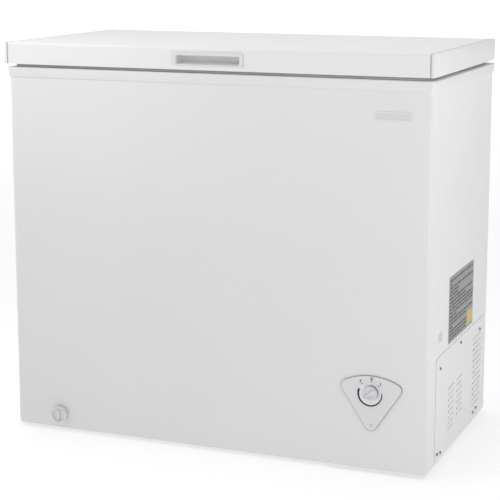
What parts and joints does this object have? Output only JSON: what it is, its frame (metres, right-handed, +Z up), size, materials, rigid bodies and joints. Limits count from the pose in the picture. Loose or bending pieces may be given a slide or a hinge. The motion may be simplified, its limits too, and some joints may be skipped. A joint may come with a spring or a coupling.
{
  "type": "chest freezer",
  "caption": "Chest freezer with a rear-hinged insulated lid, recessed front grip, thermostat panel at lower right, pull-out drain, side air vents and a hanging basket.",
  "frame": {"origin": "on the floor, under the middle of the overall box", "axes": "+X to the viewer's right along the width, with the machine compartment at the +X end; the front with the grip, dial and drain faces -Y, the hinges are at +Y; +Z is up"},
  "size_m": [0.944, 0.523, 0.85],
  "materials": {
    "white_painted_steel": "satin",
    "galvanised_steel": "satin",
    "screw_steel": "satin",
    "black_painted_steel": "satin",
    "white_plastic": "satin",
    "lid_trim_plastic": "satin",
    "handle_plastic": "satin",
    "grey_plastic": "satin",
    "panel_plastic": "gloss",
    "knob_plastic": "gloss",
    "drain_dial_plastic": "gloss",
    "black_plastic": "matte",
    "liner_aluminium": "satin",
    "aluminium_tube": "satin",
    "insulating_foam": "matte",
    "gasket_vinyl": "matte",
    "black_rubber": "matte",
    "copper_tube": "satin",
    "lamp_lens": "gloss",
    "label_foil": "satin",
    "basket_wire": "gloss"
  },
  "bodies": {
    "cabinet": {"cabinet_wrap": "white_painted_steel", "back_panel": "white_painted_steel", "base_pan": "galvanised_steel", "machine_bay_sheet": "galvanised_steel", "cabinet_foam": "insulating_foam", "inner_liner": "liner_aluminium", "top_collar": "white_plastic", "vent_cover": "white_painted_steel", "vent_screw_1": "screw_steel", "vent_screw_2": "screw_steel", "vent_screw_3": "screw_steel", "vent_screw_4": "screw_steel", "vent_screw_5": "screw_steel", "vent_screw_6": "screw_steel", "vent_screw_7": "screw_steel", "foot_front_left": "black_plastic", "foot_front_right": "black_plastic", "foot_rear_left": "black_plastic", "foot_rear_right": "black_plastic", "power_cord_gland": "black_plastic", "name_plate": "grey_plastic", "rating_label": "label_foil", "control_panel": "panel_plastic", "thermostat_body": "galvanised_steel", "thermostat_probe": "copper_tube", "power_lamp": "lamp_lens", "drain_sleeve": "white_plastic", "drain_elbow": "white_plastic", "compressor": "black_painted_steel", "compressor_mount_front_inner": "black_rubber", "compressor_mount_front_outer": "black_rubber", "compressor_mount_rear_inner": "black_rubber", "compressor_mount_rear_outer": "black_rubber", "starter_box": "black_plastic", "condenser_coil": "copper_tube", "evaporator_coil": "aluminium_tube", "discharge_line": "copper_tube", "suction_line": "copper_tube", "filter_drier": "copper_tube", "capillary_tube": "copper_tube", "hinge_bracket_left": "galvanised_steel", "hinge_bracket_right": "galvanised_steel", "hinge_pin_left": "galvanised_steel", "hinge_pin_right": "galvanised_steel", "hinge_spring_left": "galvanised_steel", "hinge_spring_right": "galvanised_steel"},
    "lid": {"lid_skin": "white_painted_steel", "lid_foam": "insulating_foam", "lid_pan": "white_plastic", "lid_gasket": "gasket_vinyl", "lid_end_cap_left": "lid_trim_plastic", "lid_end_cap_right": "lid_trim_plastic", "handle_pocket": "handle_plastic", "hinge_leaf_left": "galvanised_steel", "hinge_leaf_right": "galvanised_steel"},
    "thermostat_knob": {"thermostat_knob": "knob_plastic"},
    "drain_spout": {"drain_spout": "white_plastic"},
    "drain_dial": {"drain_dial": "drain_dial_plastic"},
    "floor_drain_plug": {"floor_drain_plug": "black_rubber"},
    "storage_basket": {"storage_basket": "basket_wire"}
  },
  "joints": [
    {"name": "lid_hinge", "type": "hinge", "parent": "cabinet", "child": "lid", "pos_m": [0, 0.254, 0.806], "axis": [-1, 0, 0], "range_deg": [0, 85]},
    {"name": "thermostat_turn", "type": "hinge", "parent": "cabinet", "child": "thermostat_knob", "pos_m": [0.3525, -0.2486, 0.1695], "axis": [0, 1, 0], "range_deg": [-233.7, 77.7]},
    {"name": "drain_pull", "type": "slide", "parent": "cabinet", "child": "drain_spout", "axis": [0, -1, 0], "range_m": [0, 0.035]},
    {"name": "drain_dial_turn", "type": "hinge", "parent": "drain_spout", "child": "drain_dial", "pos_m": [-0.361, -0.2455, 0.0387], "axis": [0, 1, 0], "range_deg": [-180, 0]},
    {"name": "floor_plug_lift", "type": "slide", "parent": "cabinet", "child": "floor_drain_plug", "axis": [0, 0, 1], "range_m": [0, 0.1]},
    {"name": "basket_slide", "type": "slide", "parent": "cabinet", "child": "storage_basket", "axis": [-1, 0, 0], "range_m": [0, 0.55]}
  ]
}
